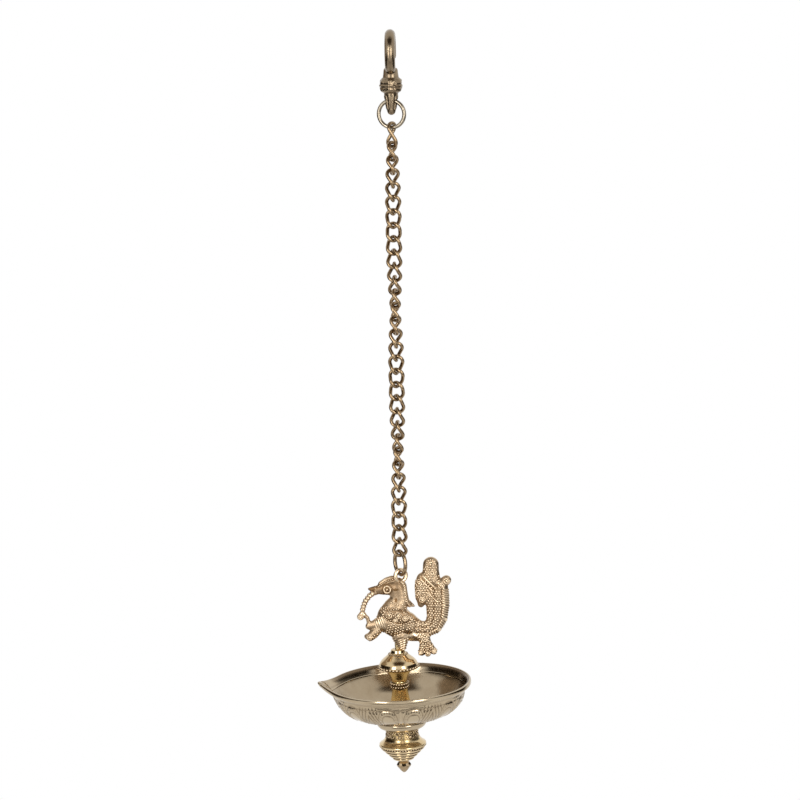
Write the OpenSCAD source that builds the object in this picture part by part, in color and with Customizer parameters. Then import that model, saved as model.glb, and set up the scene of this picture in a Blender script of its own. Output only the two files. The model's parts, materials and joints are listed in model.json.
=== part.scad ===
// Hanging chain oil lamp in brass: a crook hook, a ring, a twisted curb chain,
// a second ring, a cast bird, and a stacked oil bowl with a pendant below it.
// All sizes are in millimetres and degrees. The origin is the point where the
// crook bears on its support. Z points up, X points right, the front is minus Y.

/* [Hook] */
// Thickness of the round bar of the crook
hook_bar_d = 7.2; // [5:0.1:9]
// Clear width inside the crook
crook_in_d = 17; // [13:0.5:26]
// Straight length of the free arm below the crook
hook_arm_l = 2.8; // [0.5:0.1:8]
// How far the bar curls under before it turns back to the axis
crook_curl = 72; // [66:1:74]
// Turn of the crook about the vertical
hook_turn = 178; // [150:1:210]
// Thickness of the neck boss above the bulb
hook_neck_d = 11; // [9:0.1:14]
// Largest thickness of the bulb under the crook
bulb_d = 15.6; // [12:0.1:20]
// Height of the bulb
bulb_h = 11; // [8:0.1:16]
// Thickness at the top of the tapered tongue
tongue_top_d = 9.8; // [8:0.1:12]
// Thickness at the round lower end of the tongue
tongue_tip_d = 5.6; // [4:0.1:7]
// Length of the tongue below the bulb
tongue_l = 15.3; // [13:0.1:22]
// Depth of the cross hole below the bulb
ring_hole_drop = 5.8; // [5:0.1:7]

/* [Rings] */
// Outside diameter of the ring in the hook
top_ring_od = 21.3; // [19:0.1:30]
// Outside diameter of the ring that carries the bird
low_ring_od = 19.5; // [18:0.1:30]
// Wire thickness of both rings
ring_wire = 2.8; // [2:0.1:3.4]
// Turn of the upper ring about the vertical
top_ring_turn = -19; // [-25:1:-10]
// Turn of the lower ring about the vertical
low_ring_turn = -64; // [-80:1:-62]

/* [Chain] */
// Wire thickness of the chain links
link_wire = 2.6; // [1.8:0.1:2.7]
// Outside width of one link
link_w = 11.3; // [10.8:0.1:14]
// Distance from one link to the next
link_pitch = 9.32; // [9.2:0.02:12]
// Inside length of the longer first link
first_link_in = 13.55; // [11:0.05:20]
// Twist of a link's end bends out of its middle plane
link_twist = -48; // [-50:1:-47]
// Turn of the first link about the vertical
first_link_turn = 96; // [92:1:100]
// Turn from one link to the next at the top of the chain
link_turn = 13.3; // [12:0.1:15]
// Growth of that turn from each link to the next
link_turn_growth = 0.172; // [0.16:0.002:0.18]

/* [Fits] */
// Free space between two pieces of wire that hang in each other
joint_gap = 0.25; // [0.15:0.05:0.4]
// Free space round the upper ring in its cross hole
ring_hole_gap = 0.4; // [0.3:0.05:0.6]
// Free space round the tie rod in the pieces it clamps
rod_gap = 0.15; // [0.1:0.05:0.3]
// Free space round the loop where it sits in the bird's crest
loop_gap = 0.06; // [0.05:0.01:0.1]

/* [Bird] */
// Height of the bird from its foot to the top of its tail
bird_h = 67; // [60:0.5:80]
// Thickness of the loop on the bird's crest
loop_wire = 3; // [2.4:0.1:3.4]
// Clear width inside the loop
loop_in_d = 5.2; // [4.8:0.1:7]
// Lean of the whole lamp, with its lower end to the right
lamp_lean = 1.9; // [0:0.1:4]

/* [Stack] */
// Radius of the top of the dome under the bird
dome_top_r = 4.6; // [4.2:0.1:7]
// Radius of the dome's beaded edge
dome_r = 14.6; // [12:0.1:18]
// Height of the dome
dome_h = 14; // [11:0.1:18]
// Height of the dome's lower face above the bowl rim
dome_lift = 10; // [8:0.1:14]
// Radius of the stem under the dome
stem_top_r = 9; // [8:0.1:10.5]
// Radius of the stem's waist
stem_waist_r = 5.6; // [4.6:0.1:6.5]
// Radius of the beaded collar on the stem
stem_bead_r = 6.6; // [6.4:0.1:8]
// Radius of the stem's foot on the bowl floor
stem_foot_r = 11; // [9:0.1:13]
// Thickness of the tie rod through the stack
rod_d = 4; // [3:0.1:4.2]
// Depth of the rod's socket in the bird and in the pendant
rod_socket = 8; // [6:0.5:10]

/* [Bowl] */
// Outside radius of the bowl rim
rim_r = 51; // [46:0.1:60]
// Height of the rim band
rim_h = 3.8; // [3:0.1:5]
// Overhang of the rim band beyond the bowl wall
rim_over = 5; // [3:0.1:6]
// Width of the flat top of the rim
rim_top_w = 2.4; // [1.8:0.1:3]
// Thickness of the bowl wall
bowl_wall = 2.4; // [1.8:0.1:2.8]
// Depth of the outside of the bowl below the rim
bowl_depth = 26.6; // [24:0.1:34]
// Roundness of the bowl's belly, two being an ellipse
bowl_power = 2.6; // [2:0.1:3.2]
// Reach of the spout beyond the rim
spout_reach = 7.5; // [5:0.1:12]
// Radius of the spout's blunt end
spout_tip_r = 4; // [3.2:0.1:5]
// Radius of the plain collar under the bowl
collar_r = 17.8; // [15:0.1:22]
// Height of that collar
collar_h = 7.4; // [6:0.1:10]

/* [Pendant] */
// Radius of the pendant's neck
pend_neck_r = 11.3; // [9:0.1:13]
// Radius of the pendant's disc
pend_disc_r = 16.6; // [14:0.1:20]
// Drop from the collar to the widest line of the disc
pend_disc_drop = 12; // [10:0.1:16]
// Height of the ringed cone under the disc
pend_cone_h = 11.6; // [9:0.1:16]
// Radius of the drop at the bottom
drop_r = 5; // [4:0.1:7]
// Length of the drop
drop_l = 9.4; // [8:0.1:14]

/* [Hidden] */
$fn = 64;
link_count = 32;
seam_cut = 0.06;
seam_fat = 0.02;
end_flat = 0.3;
bend_step = 0.08;
bend_lap = 0.12;
brass = [0.80, 0.65, 0.36];
pale = [0.86, 0.78, 0.58];
dark = [0.62, 0.46, 0.25];

// The hook from its bearing point down to the hole for the ring
crook_r = (crook_in_d + hook_bar_d) / 2;
crook_z = -crook_in_d / 2;
bend_r = crook_r * cos(crook_curl) / (1 - cos(crook_curl));
bulb_top_z = crook_z - (crook_r + bend_r) * sin(crook_curl);
bulb_low_z = bulb_top_z - bulb_h;
hole_z = bulb_low_z - ring_hole_drop;
tongue_hole_r = tongue_top_d / 2 - (tongue_top_d - tongue_tip_d) / 2 * ring_hole_drop / tongue_l;

// The upper ring curves, so its hole is wider than its wire by half the sagitta
top_ring_r = (top_ring_od - ring_wire) / 2;
ring_sag = top_ring_r - sqrt(top_ring_r * top_ring_r - tongue_hole_r * tongue_hole_r);
ring_hole_d = ring_wire + ring_sag + 2 * ring_hole_gap;
top_ring_z = hole_z + ring_sag / 2 - top_ring_r;

// The chain hangs from the bottom of the upper ring
link_a = (link_w - link_wire) / 2;
link_half = (link_pitch + link_wire + joint_gap) / 2;
first_half = (first_link_in + link_wire) / 2;
first_link_z = top_ring_z - top_ring_r + (ring_wire + link_wire) / 2 + joint_gap - first_half;
last_low_z = first_link_z - first_half - (link_count - 1) * link_pitch;

// The lower ring and the loop on the bird's crest
low_ring_r = (low_ring_od - ring_wire) / 2;
low_ring_z = last_low_z + (link_wire + ring_wire) / 2 + joint_gap - low_ring_r;
loop_r = (loop_in_d + loop_wire) / 2;
loop_top_z = low_ring_z - low_ring_r + (ring_wire + loop_wire) / 2 + joint_gap;
loop_turn = low_ring_turn + 90;

// Heights in the lamp's own frame, measured from the bowl rim
dome_top_z = dome_lift + dome_h;
bird_s = bird_h / 67;
loop_x = 4.8 * bird_s;
loop_z = dome_top_z + 57.3 * bird_s;
wall_top_r = rim_r - rim_over;
belly_z = -rim_h - 2.2;
belly_h = bowl_depth + belly_z;
floor_z = -bowl_depth + bowl_wall;
collar_low_z = -bowl_depth - collar_h;
disc_z = collar_low_z - pend_disc_drop;
cone_low_z = disc_z - pend_cone_h;
rod_low_z = collar_low_z - rod_socket;
rod_top_z = dome_top_z + rod_socket;
spout_x = rim_r + spout_reach - spout_tip_r;
spout_angle = acos((rim_r - spout_tip_r) / spout_x);

function two(i) = i < 10 ? str("0", i) : str(i);
function link_name(i) = str("chain_link_", two(i));
function link_angle(m) = first_link_turn - link_turn * m - link_turn_growth * m * m / 2;
function link_z(i) = i == 1 ? first_link_z
    : first_link_z - first_half - (i - 1) * link_pitch + link_half;

// One bend of round wire that leaves p0 along t0 and reaches p1 along t1
module wire_bend(p0, t0, p1, t1, d) {
    turn = acos(t0 * t1);
    n = cross(t0, t1) / norm(cross(t0, t1));
    r = norm(p1 - p0) / (2 * sin(turn / 2));
    x = cross(t0, n);
    c = p0 - r * x;
    multmatrix([
        [x[0], t0[0], n[0], c[0]],
        [x[1], t0[1], n[1], c[1]],
        [x[2], t0[2], n[2], c[2]],
        [0, 0, 0, 1]
    ])
    rotate_extrude(angle = turn)
    translate([r, 0])
    circle(d = d);
}

// A curb link: two straight sides, two short straight ends and four bends
// between them, twisted out of one plane. The bends are a hair thinner than the
// straights, and each straight laps a little over the start of its bends.
module curb_link(half) {
    slope = atan(link_a / half * tan(link_twist));
    run = half / cos(slope) - link_a / cos(link_twist) + end_flat;
    along = [0, sin(slope), cos(slope)];
    across = [-cos(link_twist), -sin(link_twist), 0];
    for (side = [0, 180])
        rotate([0, 0, side]) {
            translate([link_a, 0, 0])
            rotate([-slope, 0, 0])
            cylinder(d = link_wire, h = 2 * (run + bend_lap), center = true);
            for (end = [0, 180])
                rotate([end, 0, 0])
                wire_bend([link_a, 0, 0] + run * along, along, [0, 0, half] - end_flat * across,
                    across, link_wire - bend_step);
        }
    for (end = [-1, 1])
        translate([0, 0, end * half])
        rotate([0, 0, end * link_twist])
        rotate([0, 90, 0])
        cylinder(d = link_wire, h = 2 * (end_flat + bend_lap), center = true);
}

module chain_link(i) {
    color(brass)
    translate([0, 0, link_z(i)])
    rotate([0, 0, link_angle(i - 1)])
    curb_link(i == 1 ? first_half : link_half);
}

// A plain round ring standing upright in the X Z plane
module upright_ring(r, d) {
    rotate([90, 0, 0])
    rotate_extrude()
    translate([r, 0])
    circle(d = d);
}

module ceiling_hook() {
    color(dark)
    difference() {
        union() {
            rotate([0, 0, hook_turn])
            crook();
            translate([0, 0, bulb_low_z])
            bulb();
            translate([0, 0, bulb_low_z - tongue_l + tongue_tip_d / 2])
            tongue();
        }
        translate([0, 0, hole_z])
        rotate([0, 0, top_ring_turn])
        rotate([0, 90, 0])
        cylinder(d = ring_hole_d, h = 2 * tongue_top_d, center = true);
    }
}

// The bar of the crook in the Y Z plane, its free arm at minus Y. The two bends
// and the arm stop just short of each other and a ball closes each seam.
module crook() {
    cut = seam_cut / crook_r * 180 / PI;
    seam_d = hook_bar_d + 4 * seam_fat;
    translate([0, 0, crook_z])
    rotate([90, 0, 90]) {
        rotate([0, 0, cut - crook_curl])
        rotate_extrude(angle = 180 + crook_curl - 2 * cut)
        translate([crook_r, 0])
        circle(d = hook_bar_d);
        for (turn = [-crook_curl, 180])
            rotate([0, 0, turn])
            translate([crook_r, 0])
            sphere(d = seam_d);
    }
    translate([0, -crook_r, crook_z - hook_arm_l])
    cylinder(d = hook_bar_d, h = hook_arm_l - seam_cut);
    translate([0, -crook_r, crook_z - hook_arm_l])
    sphere(d = seam_d);
    translate([0, bend_r, bulb_top_z])
    rotate([90, 0, 90])
    rotate([0, 0, 180 - crook_curl + seam_cut / bend_r * 180 / PI])
    rotate_extrude(angle = crook_curl - seam_cut / bend_r * 180 / PI)
    translate([bend_r, 0])
    circle(d = hook_bar_d);
    translate([0, 0, bulb_top_z - 1])
    cylinder(d1 = hook_neck_d, d2 = hook_neck_d * 0.9, h = hook_bar_d);
    translate([0, 0, bulb_top_z - 1.8 + hook_bar_d])
    sphere(d = hook_neck_d * 0.855);
}

// A barrel with one raised line round its middle
module bulb() {
    side_r = bulb_h / 2;
    rotate_extrude()
    polygon(concat(
        [[0, 0]],
        [for (k = [-80 : 20 : 80]) [bulb_d / 2 - side_r + side_r * cos(k), side_r + side_r * sin(k)]],
        [[0, bulb_h]]
    ));
    translate([0, 0, side_r])
    rotate_extrude()
    translate([bulb_d / 2 - 0.4, 0])
    circle(d = 1.6);
}

// The tapered tongue with its rounded end
module tongue() {
    tip_r = tongue_tip_d / 2;
    rotate_extrude()
    polygon(concat(
        [for (k = [0 : 15 : 90]) [tip_r * sin(k), -tip_r * cos(k)]],
        [[tongue_top_d / 2, tongue_l - tip_r], [tongue_top_d / 2 - 0.5, tongue_l - tip_r + 1]],
        [[0, tongue_l - tip_r + 1]]
    ));
}

module top_ring() {
    color(pale)
    translate([0, 0, top_ring_z])
    rotate([0, 0, top_ring_turn])
    upright_ring(top_ring_r, ring_wire);
}

module lower_ring() {
    color(brass)
    translate([0, 0, low_ring_z])
    rotate([0, 0, low_ring_turn])
    upright_ring(low_ring_r, ring_wire);
}

// Places the lamp so that its loop hangs under the chain, with its lean
module hang() {
    translate([0, 0, loop_top_z])
    rotate([0, -lamp_lean, 0])
    translate([-loop_x, 0, -loop_z])
    children();
}

// The loop with a short peg, made fatter by extra for the recess it sits in
module loop_shape(extra) {
    translate([loop_x, 0, loop_z - loop_r])
    rotate([0, 0, loop_turn])
    upright_ring(loop_r, loop_wire + 2 * extra);
    translate([loop_x, 0, loop_z - 2 * loop_r - 5 * bird_s - extra])
    cylinder(d = loop_wire + 2 * extra, h = 5 * bird_s);
}

module crest_loop() {
    color(brass)
    hang()
    loop_shape(0);
}

// One flattened ball of the bird, placed from its foot
module ball(x, z, r, flat, sides = 22) {
    translate([x * bird_s, 0, z * bird_s])
    scale([1, flat, 1])
    sphere(r = r * bird_s, $fn = sides);
}

// Two balls and everything between them
module limb(a, b, flat, sides = 22) {
    hull() {
        ball(a[0], a[1], a[2], flat, sides);
        ball(b[0], b[1], b[2], flat, sides);
    }
}

module bird() {
    color(brass)
    hang()
    difference() {
        translate([0, 0, dome_top_z]) {
            bird_body();
            bird_head();
            bird_tail();
            bird_garland();
        }
        loop_shape(loop_gap);
        translate([0, 0, dome_top_z - 1])
        cylinder(d = rod_d + 2 * rod_gap, h = rod_socket + 1, $fn = 32);
    }
}

// Breast, back, wings, the hanging plume under the tail and the foot
module bird_body() {
    limb([-3.4, 23.6, 12], [9, 21.5, 10.8], 0.72);
    limb([-1, 27, 10.5], [2.2, 37, 7.4], 0.72);
    limb([7.5, 34, 3.6], [12.6, 31.9, 1.3], 0.8, 16);
    for (side = [-1, 1])
        translate([0, side * 6.4 * bird_s, 0])
        limb([-2, 26, 6.2], [14, 20, 3.4], 0.5);
    limb([17, 11.5, 4.4], [15.8, -1.6, 2.4], 0.9, 16);
    limb([19, 11.5, 4.4], [20.6, -2.6, 2.6], 0.9, 16);
    limb([21, 12, 4.4], [24.6, -1.2, 2.6], 0.9, 16);
    hull() {
        ball(2, 13, 7.6, 0.9);
        cylinder(r = 3.9 * bird_s, h = 0.6, $fn = 40);
    }
}

module bird_head() {
    limb([2.2, 37, 7.4], [0.4, 44, 7], 0.7);
    limb([0.4, 44, 7], [-9.4, 45, 4.6], 0.7);
    limb([0.4, 44, 7], [3.6, 48.7, 3.3], 0.75);
    limb([-9.4, 45, 4.4], [-18.4, 44.6, 1.5], 0.62, 16);
    for (side = [-1, 1])
        translate([-6.2 * bird_s, side * 4.1 * bird_s, 44.6 * bird_s])
        sphere(r = 2.2 * bird_s, $fn = 16);
}

// The tail sweeps back and up, then spreads into a flat plume with knobs
module bird_tail() {
    limb([12, 19.5, 8.5], [27.4, 19.6, 7.2], 0.6);
    limb([27.4, 19.6, 7.2], [31.4, 29, 8], 0.55);
    hull() {
        ball(21, 37.6, 6.4, 0.6);
        ball(32.4, 34.5, 7, 0.6);
        ball(20.8, 46.4, 5.8, 0.6);
        ball(32.6, 45, 6, 0.6);
    }
    limb([26.6, 50, 7.4], [26, 60.6, 6.2], 0.6);
    limb([32, 44, 4.4], [36.4, 47.2, 3.6], 0.75, 16);
    limb([21, 38, 4], [17.6, 34, 3.4], 0.75, 16);
}

// The garland held in the beak and carried down to the breast
module bird_garland() {
    path = [[-14.4, 42.2, 2.2], [-18.4, 39.6, 2.4], [-21, 35, 2.5], [-23, 29.6, 2.6],
        [-24.2, 25.2, 3.6], [-20, 19.6, 2.8], [-15.6, 16, 3], [-19.4, 10.8, 3.3]];
    for (i = [0 : len(path) - 2])
        limb(path[i], path[i + 1], 0.9, 14);
    limb([-20, 19.6, 2.8], [-9, 20, 5], 0.8, 14);
}

// A smooth flare from radius r0 at height z0 to radius r1 at height z1
function flare(r0, z0, r1, z1, bow, n = 8) = [
    for (k = [0 : n])
        let (t = k / n)
        [r0 + (r1 - r0) * pow(t, bow), z0 + (z1 - z0) * t]
];

// The bore for the tie rod, from height z0 to height z1
module rod_bore(z0, z1) {
    translate([0, 0, z0])
    cylinder(d = rod_d + 2 * rod_gap, h = z1 - z0);
}

module dome_cap() {
    edge = 1.3;
    color(brass)
    hang()
    difference() {
        union() {
            rotate_extrude()
            polygon(concat(
                [[0, dome_lift], [dome_r - 2, dome_lift], [dome_r - edge / 2, dome_lift + edge]],
                flare(dome_r - edge / 2, dome_lift + 2 * edge, dome_top_r, dome_top_z, 0.62),
                [[0, dome_top_z]]
            ));
            translate([0, 0, dome_lift + 1.5 * edge])
            rotate_extrude()
            translate([dome_r - edge, 0])
            circle(r = edge);
        }
        rod_bore(dome_lift - 1, dome_top_z + 1);
    }
}

module stem() {
    bead_z = -2.5;
    color(brass)
    hang()
    difference() {
        union() {
            rotate_extrude()
            polygon(concat(
                [[0, floor_z], [stem_foot_r, floor_z], [stem_foot_r, floor_z + 1.5]],
                flare(stem_foot_r - 0.8, floor_z + 2, stem_waist_r, bead_z, 0.45),
                flare(stem_waist_r, bead_z + 2, stem_top_r, dome_lift - 1.2, 2.2),
                [[stem_top_r, dome_lift], [0, dome_lift]]
            ));
            translate([0, 0, bead_z])
            rotate_extrude()
            translate([stem_bead_r - 1.7, 0])
            circle(r = 1.7);
        }
        rod_bore(floor_z - 1, dome_lift + 1);
    }
}

// The belly curve, moved in by inset, from the rim band down to radius r_end
function belly(inset, r_end, n = 12) = [
    for (k = [0 : n])
        let (
            top = wall_top_r - inset,
            low = belly_h - inset,
            t_end = pow(1 - pow(r_end / top, bowl_power), 1 / bowl_power),
            t = sin(90 * k / n) * t_end
        )
        [top * pow(1 - pow(t, bowl_power), 1 / bowl_power), belly_z - low * t]
];

// Plan of the spout's rim, moved in by inset
module spout_plan(inset) {
    big = rim_r - inset;
    tip = spout_tip_r - inset;
    side = [-big * cos(spout_angle), big * sin(spout_angle)];
    end = [-spout_x - tip * cos(spout_angle), tip * sin(spout_angle)];
    polygon([[side[0], side[1]], [end[0], end[1]], [end[0], -end[1]], [side[0], -side[1]]]);
    translate([-spout_x, 0])
    circle(r = tip);
}

// The lower half of the spout, a cone lying on its side, moved in by inset
module spout_cone(inset) {
    root = wall_top_r - 7;
    reach = spout_x + spout_tip_r * 0.7 - inset - root;
    intersection() {
        translate([-root, 0, 0])
        rotate([0, -90, 0])
        cylinder(r1 = 14 - inset, r2 = spout_tip_r + 0.8 - inset, h = reach);
        translate([-2 * rim_r, -rim_r, -2 * rim_r])
        cube([2 * rim_r, 2 * rim_r, 2 * rim_r]);
    }
}

module oil_bowl() {
    lip = 0.7;
    color(pale)
    hang()
    difference() {
        union() {
            rotate_extrude()
            polygon(concat(
                [[0, 0], [rim_r - lip, 0], [rim_r, -lip], [rim_r, -rim_h + lip], [rim_r - lip, -rim_h]],
                [[wall_top_r + 0.6, -rim_h]],
                belly(0, collar_r),
                [[collar_r, -bowl_depth - collar_h * 0.5]],
                [[collar_r - 1.6, -bowl_depth - collar_h * 0.78]],
                [[pend_neck_r + 0.8, collar_low_z], [0, collar_low_z]]
            ));
            translate([0, 0, -rim_h])
            linear_extrude(rim_h)
            spout_plan(0);
            spout_cone(0);
        }
        rotate_extrude()
        polygon(concat(
            [[0, 1], [rim_r - rim_top_w, 1], [rim_r - rim_top_w, -0.5]],
            belly(bowl_wall, stem_foot_r + 3),
            [[stem_foot_r + 2, floor_z], [0, floor_z]]
        ));
        translate([0, 0, 0.5 - rim_h * 0.6])
        linear_extrude(rim_h)
        spout_plan(rim_top_w);
        translate([0, 0, 0.01])
        spout_cone(bowl_wall);
        rod_bore(collar_low_z - 1, floor_z + 1);
    }
}

module pendant() {
    step = (pend_disc_r - drop_r) / 4;
    color(brass)
    hang()
    difference() {
        union() {
            rotate_extrude()
            polygon(concat(
                [[0, collar_low_z], [pend_neck_r, collar_low_z]],
                flare(pend_neck_r, collar_low_z - 2.4, pend_disc_r - 0.8, disc_z + 1.6, 1.5),
                [[pend_disc_r, disc_z + 1], [pend_disc_r, disc_z - 0.6]],
                [for (k = [0 : 3]) each [
                    [pend_disc_r - step * (k + 0.3), disc_z - 0.8 - (pend_cone_h - 0.8) * (k + 0.2) / 4],
                    [pend_disc_r - step * (k + 0.7), disc_z - 0.8 - (pend_cone_h - 0.8) * (k + 0.9) / 4]
                ]],
                [[drop_r * 0.8, cone_low_z], [0, cone_low_z]]
            ));
            translate([0, 0, cone_low_z - drop_r * 0.72])
            sphere(r = drop_r);
            translate([0, 0, cone_low_z - drop_l])
            cylinder(r1 = 0.8, r2 = drop_r * 0.8, h = drop_l - drop_r * 0.72 - drop_r * 0.5);
        }
        translate([0, 0, rod_low_z])
        cylinder(d = rod_d, h = rod_socket + 1);
    }
}

// The rod that clamps the stack between the bird and the pendant
module tie_rod() {
    color(dark)
    hang()
    translate([0, 0, rod_low_z])
    cylinder(d = rod_d, h = rod_top_z - rod_low_z);
}

ceiling_hook();
top_ring();
for (i = [1 : link_count])
    chain_link(i);
lower_ring();
crest_loop();
bird();
dome_cap();
stem();
oil_bowl();
pendant();
tie_rod();
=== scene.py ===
# %% [markdown]
# # A hanging brass oil lamp
# This lesson dresses a packed lamp: a hook, a curb chain, a cast bird and an oil
# bowl on one axis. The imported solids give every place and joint, and each new piece
# is made around them.

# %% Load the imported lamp
import json
import math

import bmesh
import bpy
from mathutils import Matrix, Vector, noise
from mathutils.bvhtree import BVHTree

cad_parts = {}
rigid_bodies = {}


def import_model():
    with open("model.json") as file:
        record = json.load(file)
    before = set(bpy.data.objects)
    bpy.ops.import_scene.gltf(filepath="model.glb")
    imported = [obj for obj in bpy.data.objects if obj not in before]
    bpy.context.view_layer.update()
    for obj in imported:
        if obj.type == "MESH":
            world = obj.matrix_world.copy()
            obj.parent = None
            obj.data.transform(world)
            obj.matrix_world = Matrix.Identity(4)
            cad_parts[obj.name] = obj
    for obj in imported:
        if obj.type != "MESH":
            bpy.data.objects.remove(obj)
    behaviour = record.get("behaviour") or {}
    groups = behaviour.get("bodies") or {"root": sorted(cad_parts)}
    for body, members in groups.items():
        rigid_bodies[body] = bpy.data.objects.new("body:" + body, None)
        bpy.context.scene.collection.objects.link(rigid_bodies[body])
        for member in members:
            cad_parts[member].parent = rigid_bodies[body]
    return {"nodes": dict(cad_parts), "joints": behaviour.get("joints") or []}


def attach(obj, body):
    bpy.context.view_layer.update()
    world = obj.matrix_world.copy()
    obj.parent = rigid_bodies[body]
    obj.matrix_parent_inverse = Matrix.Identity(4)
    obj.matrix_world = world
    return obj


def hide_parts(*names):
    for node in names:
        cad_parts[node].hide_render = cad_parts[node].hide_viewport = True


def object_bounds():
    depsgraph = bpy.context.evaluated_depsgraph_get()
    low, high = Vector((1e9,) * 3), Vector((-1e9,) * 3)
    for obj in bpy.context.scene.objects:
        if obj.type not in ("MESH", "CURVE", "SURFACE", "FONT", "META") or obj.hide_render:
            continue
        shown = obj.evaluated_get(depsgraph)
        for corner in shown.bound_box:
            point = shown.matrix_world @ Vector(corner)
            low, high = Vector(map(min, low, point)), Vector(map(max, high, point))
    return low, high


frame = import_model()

MM = 0.001
scene = bpy.context.scene
cad_low, cad_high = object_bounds()
nodes = frame["nodes"]
print("solids:", len(nodes), "box in m:", cad_high - cad_low)

# %% [markdown]
# ## The lamp's own axis
# The lamp hangs from a loop that is not quite over its middle, so the whole stack
# leans a little. It is easier to model it upright, in millimetres, from the middle
# of the bowl's rim, and to lean every finished mesh with one matrix. The loop's
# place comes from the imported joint.

# %% From lamp millimetres to the shared frame
LEAN = math.radians(1.9)
LOOP_X, LOOP_Z = 4.8, 81.3
BIRD_FOOT = 24.0
loop_joint = next(j for j in frame["joints"] if j["name"] == "lamp_swing")

millimetres = Matrix.Scale(MM, 4)
lamp_space = (Matrix.Translation(loop_joint["pos_m"]) @ Matrix.Rotation(-LEAN, 4, "Y")
              @ millimetres @ Matrix.Translation((-LOOP_X, 0, -LOOP_Z)))
bird_space = lamp_space @ Matrix.Translation((0, 0, BIRD_FOOT))
print("rim centre in m:", lamp_space.translation)

# %% [markdown]
# ## The camera
# A long lens two metres away, tipped ten degrees down and turned by about one
# degree, gives the view of the picture. The axes are written out because a roll is
# hard to read from three angles.

# %% Place the camera
PICTURE_W = 800
FOCAL_PX = 2857
VIEW_FROM = 2.0
PITCH, ROLL = math.radians(10), math.radians(1.1)
AIM = Vector((0.0021, 0, -0.2506))

forward = Vector((0, math.cos(PITCH), -math.sin(PITCH)))
level_right, level_up = Vector((1, 0, 0)), Vector((0, math.sin(PITCH), math.cos(PITCH)))
right = math.cos(ROLL) * level_right - math.sin(ROLL) * level_up
up = math.sin(ROLL) * level_right + math.cos(ROLL) * level_up

lens = bpy.data.cameras.new("picture_lens")
lens.sensor_fit = "HORIZONTAL"
lens.lens = lens.sensor_width * FOCAL_PX / PICTURE_W
camera = bpy.data.objects.new("picture_camera", lens)
scene.collection.objects.link(camera)
axes = Matrix((right, up, -forward)).transposed().to_4x4()
camera.matrix_world = Matrix.Translation(AIM - VIEW_FROM * forward) @ axes
scene.camera = camera
print("camera at", camera.matrix_world.translation)

# %% [markdown]
# ## Sums of sockets
# A finish is a small calculation over the surface. One class wraps a socket, so
# that a sum in Python adds the Math node for it. Its add method makes any other
# node: the settings come first, because they can change which sockets there are.

# %% A socket that can stand in a sum
class Wire:
    def __init__(self, tree, socket=None):
        self.tree, self.socket = tree, socket

    def add(self, kind, sockets=None, out=0, **settings):
        node = self.tree.nodes.new("ShaderNode" + kind)
        for name, value in settings.items():
            setattr(node, name, value)
        for name, value in (sockets or {}).items():
            if isinstance(value, Wire):
                self.tree.links.new(value.socket, node.inputs[name])
            else:
                node.inputs[name].default_value = value
        return Wire(self.tree, node.outputs[out] if node.outputs else None)

    def maths(self, operation, first, second):
        return self.add("Math", {0: first, 1: second}, operation=operation)

    def __add__(self, other):
        return self.maths("ADD", self, other)

    def __rsub__(self, other):
        return self.maths("SUBTRACT", other, self)

    def __mul__(self, other):
        return self.maths("MULTIPLY", self, other)

    def mix(self, low, high):
        return self.add("Mix", {0: self, 6: low, 7: high}, out=2, data_type="RGBA")


def bare_tree(owner):
    """The empty node tree of a material or a world, ready for sums."""
    owner.use_nodes = True
    owner.node_tree.nodes.clear()
    return Wire(owner.node_tree)


print("socket sums ready")

# %% [markdown]
# ## Brass
# Every piece is brass with a finish of its own: the bowl is polished and pale, the
# turned pieces are warm gold, the bird is cast and rubbed, the hook is dark. Separate
# materials would drift apart, so one function makes them all. Slow clouds of tarnish
# change the colour, hollows hold dark patina together with painted shade, and fine
# grain breaks up the gloss. A Mapping node turns Object coordinates into the lamp's
# own millimetres. Of two attributes, one darkens what was engraved and also holds
# painted shade, and "lacquer" turns the brass gold.

# %% The brass finish
CLOUD_SCALE, SPECKLE_SCALE, LATHE_LINES = 0.11, 1.7, 5.0
CLEAR, TARNISHED = 0.35, 0.72
CLOUD_TINT, SPECKLE_TINT = 0.55, 0.2
CLOUD_DULL, SPECKLE_DULL, HOLLOW_DULL, MEAN_DULL = 0.06, 0.1, 0.25, 0.05
BUMP_STRENGTH, BUMP_DEPTH = 0.4, 0.3 * MM


def rgb(red, green, blue):
    return (red, green, blue, 1)


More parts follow.
